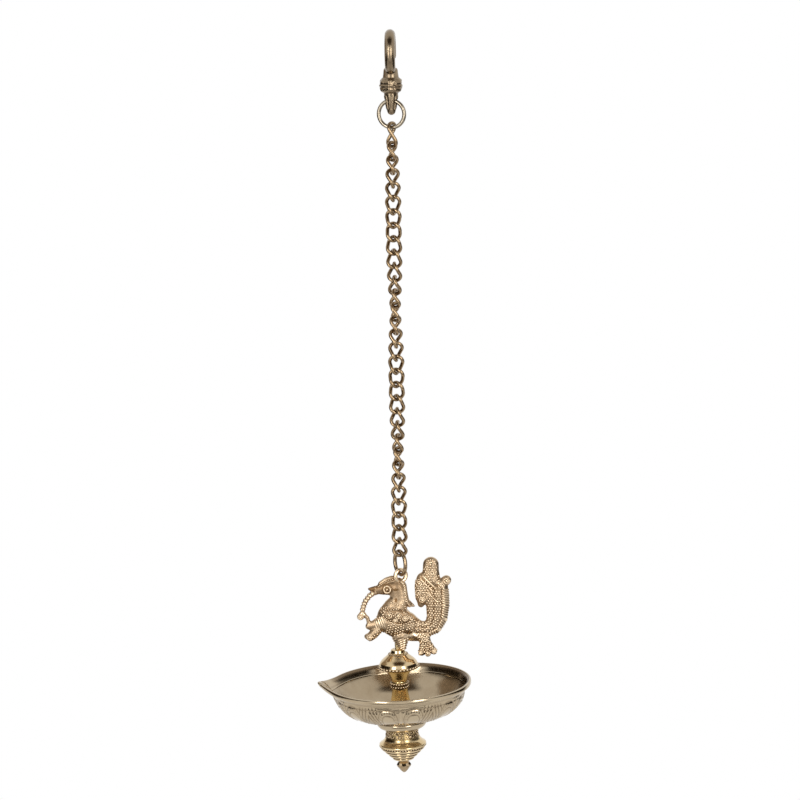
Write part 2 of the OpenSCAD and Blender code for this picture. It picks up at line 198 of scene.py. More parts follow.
def brass(name, bright, deep, patina_and_shade, rough, grain=0.2, hollow_mm=1.4, hollow_gain=1.0,
          turned=0.0, reads_cut_and_shade=False, lacquer=None):
    """Bright metal, deep where it is tarnished, with patina and painted shade in its hollows."""
    finish = bpy.data.materials.new(name + "_finish")
    wire = bare_tree(finish)
    upright = lamp_space.inverted()
    place = wire.add("Mapping", {"Vector": wire.add("TexCoord", out="Object"),
                                 "Location": upright.translation,
                                 "Rotation": upright.to_quaternion().to_euler(),
                                 "Scale": (1 / MM, 1 / MM, 1 / MM)})
    clouds = wire.add("TexNoise", {"Vector": place, "Scale": CLOUD_SCALE, "Detail": 4.0, "Roughness": 0.6})
    tarnish = wire.add("MapRange", {"Value": clouds, "From Min": CLEAR, "From Max": TARNISHED})
    speckle = wire.add("TexNoise", {"Vector": place, "Scale": SPECKLE_SCALE, "Detail": 3.0})
    # Patina and painted shade: ambient occlusion darkens the hollows, and the attribute read below adds
    # engraved lines and painted shade.
    open_sky = wire.add("AmbientOcclusion", {"Distance": hollow_mm * MM}, out="AO",
                        only_local=True, samples=6)
    hollow = wire.add("Math", {0: 1 - open_sky, 1: hollow_gain}, operation="MULTIPLY", use_clamp=True)
    if reads_cut_and_shade:
        cut = wire.add("Attribute", out="Fac", attribute_name="cut")
        hollow = wire.maths("MAXIMUM", hollow, cut)
    metal = (tarnish * CLOUD_TINT + speckle * SPECKLE_TINT).mix(bright, deep)
    if lacquer:
        coated = wire.add("Attribute", out="Fac", attribute_name="lacquer")
        metal = coated.mix(metal, lacquer)
    colour = hollow.mix(metal, patina_and_shade)
    gloss = (speckle * SPECKLE_DULL + tarnish * CLOUD_DULL + hollow * HOLLOW_DULL
             + (rough - MEAN_DULL))
    height = speckle * grain
    if turned:
        high = wire.add("SeparateXYZ", {0: place}, out="Z")
        flat = wire.add("VectorMath", {0: place, 1: (1, 1, 0)}, operation="MULTIPLY")
        wide = wire.add("VectorMath", {0: flat}, out="Value", operation="LENGTH")
        line = wire.add("TexNoise", {"W": (high + wide) * LATHE_LINES, "Detail": 2.0},
                        noise_dimensions="1D")
        height = height + line * turned
    bump = wire.add("Bump", {"Height": height, "Strength": BUMP_STRENGTH, "Distance": BUMP_DEPTH},
                    out="Normal")
    shader = wire.add("BsdfPrincipled", {"Base Color": colour, "Roughness": gloss, "Metallic": 1.0,
                                         "Normal": bump})
    wire.add("OutputMaterial", {"Surface": shader})
    return finish


print("brass ready")

# %% One finish for each kind of piece
hook_brass = brass("hook_brass", rgb(0.30, 0.235, 0.155), rgb(0.13, 0.085, 0.05),
                   rgb(0.04, 0.02, 0.01), rough=0.18, grain=0.7, hollow_mm=2.5, hollow_gain=1.6)
ring_brass = brass("ring_brass", rgb(0.31, 0.265, 0.20), rgb(0.19, 0.155, 0.11),
                   rgb(0.08, 0.06, 0.04), rough=0.12, hollow_gain=1.5)
chain_brass = brass("chain_brass", rgb(0.34, 0.245, 0.145), rgb(0.19, 0.12, 0.06),
                    rgb(0.05, 0.03, 0.01), rough=0.13, grain=0.3, hollow_mm=2.0, hollow_gain=1.8)
bird_brass = brass("bird_brass", rgb(0.87, 0.70, 0.49), rgb(0.63, 0.45, 0.27),
                   rgb(0.16, 0.09, 0.04), rough=0.2, grain=0.4, hollow_mm=1.0, hollow_gain=1.1,
                   reads_cut_and_shade=True)
turned_brass = brass("turned_brass", rgb(0.58, 0.45, 0.29), rgb(0.44, 0.32, 0.19),
                     rgb(0.09, 0.045, 0.01), rough=0.11, grain=0.06, hollow_gain=1.6,
                     turned=0.05, reads_cut_and_shade=True, lacquer=rgb(1.0, 0.77, 0.37))
bowl_brass = brass("bowl_brass", rgb(0.49, 0.40, 0.275), rgb(0.39, 0.30, 0.195),
                   rgb(0.11, 0.065, 0.03), rough=0.09, grain=0.05, hollow_mm=1.0, turned=0.05,
                   reads_cut_and_shade=True)
rod_brass = brass("rod_brass", rgb(0.52, 0.40, 0.22), rgb(0.36, 0.25, 0.11),
                  rgb(0.08, 0.04, 0.01), rough=0.35, turned=0.6)
print("materials:", len(bpy.data.materials))

# %% [markdown]
# ## From a bmesh to a finished piece
# Every new piece goes the same last steps: doubled points are merged, faces are
# turned outwards, sharp edges are marked, and the mesh is carried into the shared
# frame. The object stays at the origin and rides on its body.

# %% Finish a piece
MERGE = 0.0005
SHARP = math.radians(50)


def mesh_object(bm, name):
    """An object in the scene with the bmesh as its mesh; the bmesh is used up."""
    mesh = bpy.data.meshes.new(name)
    bm.to_mesh(mesh)
    bm.free()
    thing = bpy.data.objects.new(name, mesh)
    scene.collection.objects.link(thing)
    return thing


def applied(thing):
    """The mesh of an object with its modifiers applied."""
    bpy.context.view_layer.update()
    return bpy.data.meshes.new_from_object(
        thing.evaluated_get(bpy.context.evaluated_depsgraph_get()))


def finish_piece(bm, name, finish, body, space, stands_for, sharp=SHARP):
    """The finished object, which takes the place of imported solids."""
    bmesh.ops.remove_doubles(bm, verts=bm.verts[:], dist=MERGE)
    bmesh.ops.recalc_face_normals(bm, faces=bm.faces[:])
    for face in bm.faces:
        face.smooth = True
    for edge in bm.edges:
        edge.smooth = edge.smooth and edge.calc_face_angle(0) < sharp
    bm.transform(space)
    piece = mesh_object(bm, name)
    piece.data.materials.append(finish)
    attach(piece, body)
    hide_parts(*stands_for)
    print(name, "faces:", len(piece.data.polygons))
    return piece


# %% [markdown]
# ## Lathe work
# Dome, stem, bowl and pendant were turned on a lathe, so each is one outline spun
# about the axis. A smooth curve is laid through a few points of the outline first,
# which takes fewer numbers than a drawn profile. Only a narrow sector is spun, then
# copied and turned, twice as wide each time. That is quicker than a fine full spin.

# %% Outlines and spins
FULL_TURN = 2 * math.pi
SECTOR_STEPS = 4


def through(points, steps=6):
    """A smooth line through the points, with steps pieces between two of them."""
    line = []
    last = len(points) - 1
    for i in range(last):
        before, start = Vector(points[max(i - 1, 0)]), Vector(points[i])
        end, after = Vector(points[i + 1]), Vector(points[min(i + 2, last)])
        for k in range(steps):
            t = k / steps
            line.append(0.5 * (2 * start + (end - before) * t
                               + (2 * before - 5 * start + 4 * end - after) * t ** 2
                               + (3 * start - before - 3 * end + after) * t ** 3))
    return [tuple(p) for p in line] + [tuple(points[-1])]


def lathe(bm, outline, steps=128):
    """Spin a narrow sector, then double it until it closes; steps is a power of two."""
    points = [bm.verts.new((r, 0, z)) for r, z in outline]
    line = [bm.edges.new(pair) for pair in zip(points, points[1:])]
    sector = SECTOR_STEPS * FULL_TURN / steps
    bmesh.ops.spin(bm, geom=points + line, cent=(0, 0, 0), axis=(0, 0, 1), angle=sector,
                   steps=SECTOR_STEPS)
    while sector < FULL_TURN:
        copy = bmesh.ops.duplicate(bm, geom=bm.verts[:] + bm.edges[:] + bm.faces[:])["geom"]
        bmesh.ops.rotate(bm, verts=[v for v in copy if isinstance(v, bmesh.types.BMVert)],
                         cent=(0, 0, 0), matrix=Matrix.Rotation(sector, 3, "Z"))
        sector *= 2
    bmesh.ops.remove_doubles(bm, verts=bm.verts[:], dist=MERGE)


def paint_shade_and_lacquer(bm, shade_bands, coats):
    """Painted shade and lacquer in bands: each has its lowest and highest z and its strength."""
    for name, zones in (("cut", shade_bands), ("lacquer", coats)):
        layer = bm.verts.layers.float.new(name)
        for point in bm.verts:
            for low, high, strength in zones:
                if low < point.co.z < high:
                    point[layer] = strength


print("lathe ready")

# %% [markdown]
# ## Beads
# Rows of small beads edge most of the pieces. A bead is a ball of a few dozen faces,
# placed by one matrix. A large bmesh is slow to grow, so the balls are made in small
# groups and joined.

# %% Balls and rings of beads
GROUP = 12


def join(bm, part):
    """Put all of one bmesh into another."""
    carrier = bpy.data.meshes.new("carrier")
    part.to_mesh(carrier)
    part.free()
    bm.from_mesh(carrier)
    bpy.data.meshes.remove(carrier)


def balls(bm, places, sides=8, rows=6):
    """A ball of radius 1 at every matrix."""
    for start in range(0, len(places), GROUP):
        part = bmesh.new()
        for place in places[start:start + GROUP]:
            bmesh.ops.create_uvsphere(part, u_segments=sides, v_segments=rows, radius=1, matrix=place)
        join(bm, part)


def ball_place(at, size, turn=None):
    """The matrix of a ball: its middle, its half sizes and its turn."""
    sizes = (size, size, size) if isinstance(size, (int, float)) else size
    return Matrix.Translation(at) @ (turn or Matrix()) @ Matrix.Diagonal((*sizes, 1))


def bead_ring(bm, radius, height, size, count, start=0.0):
    """A level ring of beads round the axis; size is their radius."""
    places = []
    for i in range(count):
        angle = start + FULL_TURN * i / count
        places.append(ball_place((radius * math.cos(angle), radius * math.sin(angle), height), size))
    balls(bm, places)


print("beads ready, in groups of", GROUP)

# %% [markdown]
# ## The ceiling hook
# The hook is a thick bar bent to an open crook, cast in one with a boss, a barrel
# and a tapered tongue. A bevelled curve could make the bar, but spins keep its bends
# true arcs: the arm is extruded from one round section, and two spins carry that
# section over the crook and back to the axis. The rest is lathe work, with flutes
# pulled into the tongue. The ring's hole is bored last, with a Boolean.

# %% Bend the bar of the hook
BAR_R, CROOK_R, CROOK_Z = 3.6, 12.1, -8.5
CURL, BEND_R, BULB_TOP = math.radians(72), 5.411, -25.154
ARM_L = 2.8
ROUND_END = ((1.4, 0.93), (1.2, 0.73), (0.7, 0.48), (0.3, 0.2))
HOOK_TURN = Matrix.Rotation(math.radians(178), 4, "Z")

bar = bmesh.new()
section = bmesh.ops.create_circle(bar, segments=24, radius=BAR_R,
                                  matrix=Matrix.Translation((0, -CROOK_R, CROOK_Z)))["verts"]
loop = bar.edges[:]
bent = bmesh.ops.spin(bar, geom=section + loop, cent=(0, 0, CROOK_Z), axis=(1, 0, 0),
                      angle=-(math.pi + CURL), steps=48)["geom_last"]
bmesh.ops.spin(bar, geom=bent, cent=(0, BEND_R, BULB_TOP), axis=(1, 0, 0), angle=CURL, steps=14)
for drop, thick in ((ARM_L, 1), *ROUND_END):
    grown = bmesh.ops.extrude_edge_only(bar, edges=loop)["geom"]
    section = [v for v in grown if isinstance(v, bmesh.types.BMVert)]
    loop = [e for e in grown if isinstance(e, bmesh.types.BMEdge)]
    loop = [e for e in loop if all(v in section for v in e.verts)]
    middle = sum((v.co for v in section), Vector()) / len(section)
    thin = BAR_R * thick / (section[0].co - middle).length
    bmesh.ops.scale(bar, verts=section, vec=(thin, thin, 1), space=Matrix.Translation(-middle))
    bmesh.ops.translate(bar, verts=section, vec=(0, 0, -drop))
bmesh.ops.edgeloop_fill(bar, edges=loop)
bmesh.ops.holes_fill(bar, edges=bar.edges[:], sides=0)
bmesh.ops.recalc_face_normals(bar, faces=bar.faces[:])
bar.transform(HOOK_TURN)
print("bar of the hook, faces:", len(bar.faces))

# %% Turn the barrel and flute the tongue
FLUTES, FLUTE_DEEP = 10, 0.28
FLUTE_TOP, FLUTE_LOW = -37.2, -48.4
FLUTE_TOP_END, FLUTE_LOW_END = 1.5, 2.0
CAST_TOP, CAST_LOW = -26.4, -35.6
CAST_DEEP, CAST_GRAIN = 0.5, 0.42

turned = through([(4.3, -19.4), (4.9, -20.6), (5.1, -22.6), (5.4, -24.6), (5.5, -25.6)], 3)
turned += through([(6.2, -26.1), (7.2, -27.3), (7.7, -29.0), (7.5, -30.2)], 4)
turned += through([(7.8, -30.6), (7.95, -31.2), (7.8, -31.8)], 3)
turned += through([(7.5, -32.2), (7.5, -33.4), (6.9, -34.9), (5.6, -36.0)], 4)
turned += through([(4.9, -36.4), (4.75, -38), (4.3, -41), (3.6, -45.6), (3.1, -48.2)], 8)
turned += through([(2.8, -49.4), (2.2, -50.5), (1.1, -51.25)], 3)
barrel = bmesh.new()
lathe(barrel, [(0, -18.6), (2.6, -18.7)] + turned + [(0, -51.45)])
for point in barrel.verts:
    x, y, z = point.co
    wide, angle = math.hypot(x, y), math.atan2(y, x)
    if wide < 0.1:
        continue
    grow = 0.0
    if FLUTE_LOW < z < FLUTE_TOP:
        ends = min(1, (FLUTE_TOP - z) / FLUTE_TOP_END, (z - FLUTE_LOW) / FLUTE_LOW_END)
        grow = FLUTE_DEEP * math.cos(FLUTES * angle) * ends
    elif CAST_LOW < z < CAST_TOP:
        grow = CAST_DEEP * noise.noise(point.co * CAST_GRAIN)
    point.co.x *= 1 + grow / wide
    point.co.y *= 1 + grow / wide
bead_ring(barrel, 7.35, -32.9, 0.5, 44)
join(barrel, bar)
hook_piece = finish_piece(barrel, "hook_casting", hook_brass, "hook", millimetres, ["ceiling_hook"])

# %% Bore the hole of the ring
HOLE_R, HOLE_Z, HOLE_TURN = 2.28, -41.954, math.radians(-19)

bore = bmesh.new()
across = Matrix.Rotation(HOLE_TURN, 4, "Z") @ Matrix.Rotation(math.pi / 2, 4, "Y")
bmesh.ops.create_cone(bore, cap_ends=True, segments=48, radius1=HOLE_R, radius2=HOLE_R, depth=20,
                      matrix=Matrix.Translation((0, 0, HOLE_Z)) @ across)
bore.transform(millimetres)
bore_tool = mesh_object(bore, "bore")
cutter = hook_piece.modifiers.new("bore", "BOOLEAN")
cutter.operation, cutter.object, cutter.solver = "DIFFERENCE", bore_tool, "EXACT"
bored = applied(hook_piece)
hook_piece.modifiers.clear()
hook_piece.data = bored
bpy.data.objects.remove(bore_tool)
print("bored hook, faces:", len(bored.polygons))

# %% [markdown]
# ## The dome and the stem
# The dome is a bell with a small stepped top and beads round its edge and its step.
# The stem under it narrows to a collar of two bead rows and flares to its foot. Each
# is one lathe outline in several stretches, so that the edges between them stay
# crisp. Painted shade fills the places behind the beads.

# %% The dome
dome = bmesh.new()
lathe(dome, [(0, 24.0), (4.2, 24.0), (4.9, 23.6)]
      + through([(5.0, 22.9), (5.6, 21.4), (6.7, 20.6)], 5)
      + through([(7.2, 20.1), (9.0, 18.6), (11.6, 16.4), (13.2, 14.4), (13.8, 12.7)], 6)
      + through([(14.0, 12.2), (14.2, 11.2), (13.6, 10.4), (11.6, 10.0)], 4)
      + [(9.0, 10.0), (2.2, 10.0)])
# Painted shade behind the beads of the edge and of the step, and a thin lacquer coat.
paint_shade_and_lacquer(dome, shade_bands=[(10.1, 12.5, 0.85), (20.2, 20.9, 0.7)], coats=[(9.0, 25.0, 0.2)])
bead_ring(dome, 13.8, 11.4, 1.2, 34)
bead_ring(dome, 6.6, 20.5, 0.55, 30)
finish_piece(dome, "dome_bell", turned_brass, "lamp", lamp_space, ["dome_cap"])

# %% The stem
stem = bmesh.new()
lathe(stem, [(2.2, 9.98), (8.9, 9.98)]
      + through([(9.0, 9.2), (8.6, 8.0), (7.0, 5.4), (5.9, 2.8), (5.5, 0.6)], 6)
      + through([(5.8, 0.2), (6.1, -0.6), (6.1, -3.8), (5.8, -4.6)], 4)
      + through([(5.6, -5.0), (6.0, -9.0), (7.0, -14.0), (8.6, -19.0), (10.2, -22.2)], 6)
      + through([(10.8, -22.6), (11.0, -23.2), (10.9, -24.1)], 3) + [(2.2, -24.15)])
# Painted shade behind the collar beads and in the step above the foot's rim; the whole stem is lacquered.
paint_shade_and_lacquer(stem, shade_bands=[(-4.7, 0.3, 0.9), (-22.9, -22.3, 0.7)], coats=[(-25.0, 10.0, 1.0)])
for height in (-1.0, -3.3):
    bead_ring(stem, 6.1, height, 1.0, 20, height)
finish_piece(stem, "stem_turning", turned_brass, "lamp", lamp_space, ["stem"])

# %% [markdown]
# ## The oil bowl
# The bowl is one spin as well. Its rim is then drawn out to a pouring lip on the
# left: inside the two lines that touch the round rim and the small round tip, every
# point moves out along its own direction, less and less towards the belly. The
# chased belly is a pattern of panels, bars and slanting leaves that repeats round
# the bowl. A texture could draw it, but real relief catches the light, so the points
# themselves move. The finish darkens each cut through an attribute, which also
# carries painted shade: a light one over the inside of the dish and a dark band in
# the groove along the rim.

# %% The shape of the pouring lip
RIM_R, TIP_R, TIP_X = 51.0, 3.4, 55.0
LIP_LOW, LIP_TALL, LIP_EASE = -17.0, 16.0, 1.7
touch = math.acos((RIM_R - TIP_R) / TIP_X)


def share(value):
    """The value, kept between 0 and 1."""
    return min(max(value, 0), 1)


def lip_reach(angle):
    """How many times further out the rim lies at this angle from the lip's middle."""
    away = abs(angle)
    if away >= touch:
        return 1.0
    line = RIM_R / math.cos(touch - away)
    side = TIP_X * math.sin(away)
    if side < TIP_R:
        line = min(line, TIP_X * math.cos(away) + math.sqrt(TIP_R ** 2 - side ** 2))
    return line / RIM_R


def lip_share(height):
    """The share of that reach that is left at a height below the rim."""
    return share((height - LIP_LOW) / LIP_TALL) ** LIP_EASE


print("lip angle each side:", round(math.degrees(touch), 1))

# %% Parts of the chased pattern
OVAL = 2.6
PANEL_SIDE, PANEL_HALF_W = 11.8, 9.0
PANEL_DOWN, PANEL_HALF_H = 0.46, 0.41
BAR_SIDE, SLOT_SIDE, SLOT_W = 3.0, 1.7, 0.45
LEAF_SIDE = 20.6
HEM_DOWN, HEM_W, LINE_W = 0.93, 0.05, 0.02


def ridge(distance, width):
    """A soft ridge of height 1 at distance 0 that ends at width."""
    return max(0.0, 1 - (distance / width) ** 2) ** 2 if abs(distance) < width else 0.0


def wave(distance, length):
    return math.cos(FULL_TURN * distance / length)


def panel_relief(side, down):
    """A raised oval inside an engraved line, with a row of studs and an inner line."""
    across, below = (side - PANEL_SIDE) / PANEL_HALF_W, (down - PANEL_DOWN) / PANEL_HALF_H
    out = (abs(across) ** OVAL + abs(below) ** OVAL) ** (1 / OVAL)
    turn = math.atan2(below, across)
    studs = 0.5 + 0.5 * math.cos(22 * turn)
    stud_row = ridge(out - 0.84, 0.09)
    inner = ridge(out - 0.66, 0.05) if turn < 0.9 or turn > 2.2 else 0.0
    high = 0.22 * min(1, max(0, 1 - out) * 5) + 0.3 * stud_row * studs
    return high, max(0.65 * ridge(out - 1.02, 0.06), 0.7 * inner, 0.4 * stud_row * (1 - studs))


def bar_relief(side, down):
    """An upright bar beside a slot that widens downwards."""
    if side >= BAR_SIDE:
        return 0.0, 0.0
    slot = ridge(side - SLOT_SIDE, SLOT_W + 0.5 * max(0, down - 0.55))
    return 0.45 * ridge(side, 1.0), slot * (1.0 if down > 0.5 else 0.4)


def leaf_relief(side, down):
    """Slanting strokes with studs along them."""
    if side <= LEAF_SIDE:
        return 0.0, 0.0
    slant = 0.5 + 0.5 * wave(down * 3.2 + (side - LEAF_SIDE) / 3.3, 1)
    studs = 0.6 + 0.4 * wave(down * 18 - side / 1.8, 1)
    return 0.4 * slant * studs, 0.7 * (1 - slant) ** 4


def hem_relief(side, down):
    """A scalloped hem at the bottom, and the two lines that close the pattern."""
    scallop = 0.5 + 0.5 * math.cos(66 * math.radians(side))
    hem = ridge(down - HEM_DOWN, HEM_W)
    lines = max(ridge(down - 0.07, LINE_W), ridge(down - 0.87, LINE_W))
    return 0.4 * hem * scallop, max(0.7 * hem * (1 - scallop), 0.5 * lines)


print("height of a panel in mm:", panel_relief(PANEL_SIDE, PANEL_DOWN)[0])

# %% The whole pattern round the belly
REPEATS = 6
CUT_DEEP = 0.45
FADE_TOP, FADE_LOW = 0.06, 0.04


def chasing(angle, down):
    """Height in mm and darkness of the pattern; down runs from 0 at the rim to 1."""
    period = FULL_TURN / REPEATS
    side = math.degrees(abs((angle + period / 2) % period - period / 2))
    fade = min(1, down / FADE_TOP, (1 - down) / FADE_LOW)
    parts = [relief(side, down) for relief in (panel_relief, bar_relief, leaf_relief, hem_relief)]
    high, dark = sum(part[0] for part in parts), max(part[1] for part in parts)
    return (high - CUT_DEEP * dark) * fade, dark * fade


print("repeats of the pattern:", REPEATS)

# %% Spin the bowl
BELLY_R, BELLY_DEEP, BELLY_EDGE, SQUARENESS = 46.0, 20.6, -6.0, 2.6
COLLAR_R = 17.8


def belly_line(count):
    """The rounded belly from under the rim to the radius of the collar."""
    end = (1 - (COLLAR_R / BELLY_R) ** SQUARENESS) ** (1 / SQUARENESS)
    line = []
    for k in range(count + 1):
        t = math.sin(math.pi / 2 * k / count) * end
        wide = BELLY_R * (1 - t ** SQUARENESS) ** (1 / SQUARENESS)
        line.append((wide, BELLY_EDGE - BELLY_DEEP * t))
    return line


inside = through([(15.0, -24.2), (20.0, -23.8), (28.0, -22.2), (34.6, -19.4), (39.4, -15.4),
                  (43.2, -10.8), (45.6, -7.0), (47.1, -3.8), (48.0, -1.6), (48.5, -0.8)], 6)
rim = through([(49.0, -0.72), (49.5, -0.1), (50.2, 0.0), (50.8, -0.35), (51.0, -1.2), (51.0, -2.4),
               (50.7, -3.2), (49.9, -3.7), (48.6, -3.85), (47.3, -4.3), (46.6, -5.0)], 3)
collar = through([(17.7, -26.8), (17.5, -27.4), (17.9, -28.2), (18.0, -29.4), (17.6, -30.8),
                  (16.4, -32.4), (14.2, -33.4), (12.3, -33.9)], 4)
bowl = bmesh.new()
lathe(bowl, [(2.2, -24.2), (12.6, -24.2)] + inside + rim + belly_line(66) + collar + [(2.2, -34.0)], 512)
bmesh.ops.recalc_face_normals(bowl, faces=bowl.faces[:])
bowl.normal_update()
print("spun bowl, faces:", len(bowl.faces))

# %% Chase the belly and draw out the lip
BELLY_TOP, BELLY_LOW = -6.4, -26.4
DEPTH_SHARE, RADIUS_EASE = 0.55, 0.8
# Painted shade: a light one over the inside of the dish, and a dark band in the groove along the rim that
# fades out on the lip.
DISH_SHADE = 0.22
GROOVE_IN, GROOVE_OUT, GROOVE_LOW, GROOVE_SHADE = 47.0, 49.6, -2.4, 0.8
DRAW_FROM, DRAW_EASE = 30, 14
LIP_LIFT, LIFT_EASE = 2.8, 1.2
TIP_REACH = (TIP_X + TIP_R) / RIM_R


def belly_down(wide, depth):
    """How far down the pattern a point of the belly lies, by its depth and its radius."""
    if wide >= BELLY_R:
        return 0.0
    inwards = 1 - (wide - COLLAR_R) / (BELLY_R - COLLAR_R)
    return share(DEPTH_SHARE * depth + (1 - DEPTH_SHARE) * inwards ** RADIUS_EASE)


cut_layer = bowl.verts.layers.float.new("cut")
for point in bowl.verts:
    x, y, z = point.co
    wide, from_lip = math.hypot(x, y), math.atan2(y, -x)
    depth = (BELLY_TOP - z) / (BELLY_TOP - BELLY_LOW)
    outside = point.normal.dot(Vector((x, y, -8)).normalized()) > 0.2
    if outside and wide > COLLAR_R - 0.8 and 0 < depth < 1:
        high, dark = chasing(math.atan2(y, x) + math.pi / 2, belly_down(wide, depth))
        point.co += point.normal * high
        point[cut_layer] = dark
    # Painted shade on the faces inside the dish that look up.
    elif wide < GROOVE_IN and point.normal.z > 0.1:
        point[cut_layer] = DISH_SHADE
    reach = lip_reach(from_lip) - 1
    # Painted shade in the groove along the rim, fading out on the lip.
    if GROOVE_IN < wide < GROOVE_OUT and z > GROOVE_LOW:
        point[cut_layer] = GROOVE_SHADE * max(0, 1 - 20 * reach)
    if wide > DRAW_FROM:
        grow = reach * lip_share(z) * min(1, (wide - DRAW_FROM) / DRAW_EASE)
        point.co.x *= 1 + grow
        point.co.y *= 1 + grow
        point.co.z += LIP_LIFT * (grow / (TIP_REACH - 1)) ** LIFT_EASE
finish_piece(bowl, "bowl_shell", bowl_brass, "lamp", lamp_space, ["oil_bowl"])

# %% [markdown]
# ## The pendant
# Under the collar hang a neck with a raised band of scrolls, a disc, a cone of
# rounded rings and a cut drop. The body is lathe work. Each scroll is a row of balls
# on a spiral that tightens, which stands up better than a bent wire at this size.
# The drop is spun with sixteen flat sides, and every other corner is pinched in.

# %% The turned body of the pendant
RING_COUNT, RING_STEP = 4, 2.6
RING_R, RING_Z = 14.0, -48.2
BULGE_OUT, BULGE_TALL = 1.7, 1.25

rings = []
for k in range(RING_COUNT):
    for lean in range(75, -76, -30):
        bulge = math.radians(lean)
        rings.append((RING_R - RING_STEP * k + BULGE_OUT * math.cos(bulge),
                      RING_Z - RING_STEP * k + BULGE_TALL * math.sin(bulge)))
pendant = bmesh.new()
lathe(pendant, [(2.2, -34.0), (11.6, -34.0)]
      + through([(11.9, -34.4), (11.9, -35.0), (11.2, -35.4)], 3)
      + through([(10.9, -36.0), (11.2, -38.2), (12.4, -40.6)], 5)
      + through([(12.6, -41.0), (13.6, -42.6), (15.2, -44.0), (16.4, -44.8)], 5)
      + through([(16.7, -45.2), (16.7, -46.2), (16.0, -46.8)], 4)
      + rings + [(4.2, -57.4), (0, -57.4)])
# Painted shade in the grooves between the rings, behind the top bead ring and over the neck behind the
# scrolls.
grooves = [(-47.2 - RING_STEP * k, -46.7 - RING_STEP * k, 0.5) for k in range(RING_COUNT)]
paint_shade_and_lacquer(pendant, shade_bands=grooves + [(-35.4, -34.2, 0.8), (-40.4, -36.6, 0.65)],
      coats=[(-46.2, -40.4, 0.3), (-40.4, -34.0, 0.7), (-70.0, -46.2, 0.15)])
bead_ring(pendant, 11.5, -35.0, 0.75, 38)
bead_ring(pendant, 16.2, -46.6, 0.7, 52)
print("turned pendant, faces:", len(pendant.faces))

# %% Scrolls on the neck
SCROLLS, SCROLL_BEADS = 9, 9
NECK_R, NECK_Z, NECK_FLARE = 11.15, -38.3, 0.22

curls = []
for i in range(SCROLLS):
    for hand in (-1, 1):
        turn = Matrix.Rotation(FULL_TURN * (i + 0.22 * hand) / SCROLLS, 4, "Z")
        for k in range(SCROLL_BEADS):
            curl = math.radians(35 * k)
            reach = 1.9 - 0.14 * k
            at = Vector((NECK_R, hand * reach * math.sin(curl), NECK_Z + reach * math.cos(curl)))
            at.x += NECK_FLARE * max(0, NECK_Z - at.z)
            curls.append(turn @ ball_place(at, 0.72 - 0.03 * k))
    turn = Matrix.Rotation(FULL_TURN * (i + 0.5) / SCROLLS, 4, "Z")
    curls.append(turn @ ball_place((11.5, 0, -38.6), (0.7, 0.7, 1.3)))
balls(pendant, curls, sides=6, rows=4)
print("balls of the scrolls:", len(curls))

# %% The cut drop
DROP = [(0, -57.0), (3.2, -57.1), (2.9, -58.3), (4.4, -59.9), (5.2, -61.6), (4.6, -62.9),
        (2.7, -65.5), (1.0, -67.0), (0, -67.1)]
DROP_SIDES, DROP_WAIST = 16, -62.5
PINCH_ABOVE, PINCH_BELOW = 0.8, 0.93

drop = bmesh.new()
lathe(drop, DROP, DROP_SIDES)
for point in drop.verts:
    corner = round(math.atan2(point.co.y, point.co.x) * DROP_SIDES / FULL_TURN)
    if corner % 2:
        pinch = PINCH_ABOVE if point.co.z > DROP_WAIST else PINCH_BELOW
        point.co.x *= pinch
        point.co.y *= pinch
for edge in drop.edges:
    edge.smooth = False
# Painted shade over the lower half of the drop.
paint_shade_and_lacquer(drop, shade_bands=[(-67.2, -61.0, 0.35)], coats=[])
join(pendant, drop)
finish_piece(pendant, "pendant_turning", turned_brass, "lamp", lamp_space, ["pendant"])

# %% [markdown]
# ## The bird's body
# A cast bird has no flat or turned faces. Its masses are laid out as rows of balls,
# each flattened from side to side, the way a modeller builds up clay on a wire. A
# station of a row is its x, its z and the radius there. A voxel Remesh then makes
# one skin over all of them, and smoothing melts the balls into each other. Metaballs
# would melt too, but their outline is harder to set.

# %% The masses of the bird
BODY = [(-5, 21, 9.5), (0, 19.5, 11), (7, 18.2, 8.8)]
NECK = [(-4, 24, 9.5), (-0.6, 29, 8.8), (3, 35, 6.7), (2.6, 40, 6.4), (2.0, 44, 6.2)]
HEAD = [(2.0, 44, 6.2), (-3, 44.6, 5.2), (-8, 44.2, 4.3)]
NAPE = [(2.2, 46.0, 5.0), (3.3, 48.8, 3.2)]
BEAK = [(-8, 44.2, 4.2), (-12, 43.8, 3.3), (-15.5, 44.2, 2.1), (-18.2, 44.8, 0.9)]
TAIL = [(8, 17, 8.8), (15, 14.2, 6), (21.5, 13.4, 5.7), (26.5, 16, 6.6), (29.2, 22, 7.6),
        (30, 31, 8.6), (30.2, 38, 8.5), (30.6, 43, 7.8)]
FAN = [(20.5, 37.5, 6.4), (20.4, 45, 6.3), (21.2, 49.5, 5.6)]
CROWN = [(26, 49, 7), (26.3, 55.5, 6.0), (26.6, 60, 5.8)]
TAIL_KNOB = [(33.5, 45.5, 4.2), (37, 48.3, 3.6)]
FAN_TIP = [(18.6, 35.2, 3.6), (18.2, 31.8, 2.5)]
CREST = [(-9.0, 47.6, 2.7), (-5.0, 49.8, 2.9), (-1.5, 50.8, 2.9)]
UNDERSIDE = [(6, 11, 5.2), (11, 9.8, 4.8), (16, 9, 4.2)]
BREAST_WEB = [(-12, 19.5, 4.5), (-16.5, 18, 3.4), (-19.6, 17.6, 2.6)]
LOBES = [[(17.5, 9.5, 3.4), (18.2, 3.4, 2.6), (16.9, -3.6, 2.5)],
         [(18.5, 9, 3.6), (19.9, 3.2, 2.6), (21.2, -4.4, 2.6)],
         [(19.5, 9.5, 3.6), (21.6, 3.4, 2.6), (25.6, -3.2, 2.4)]]
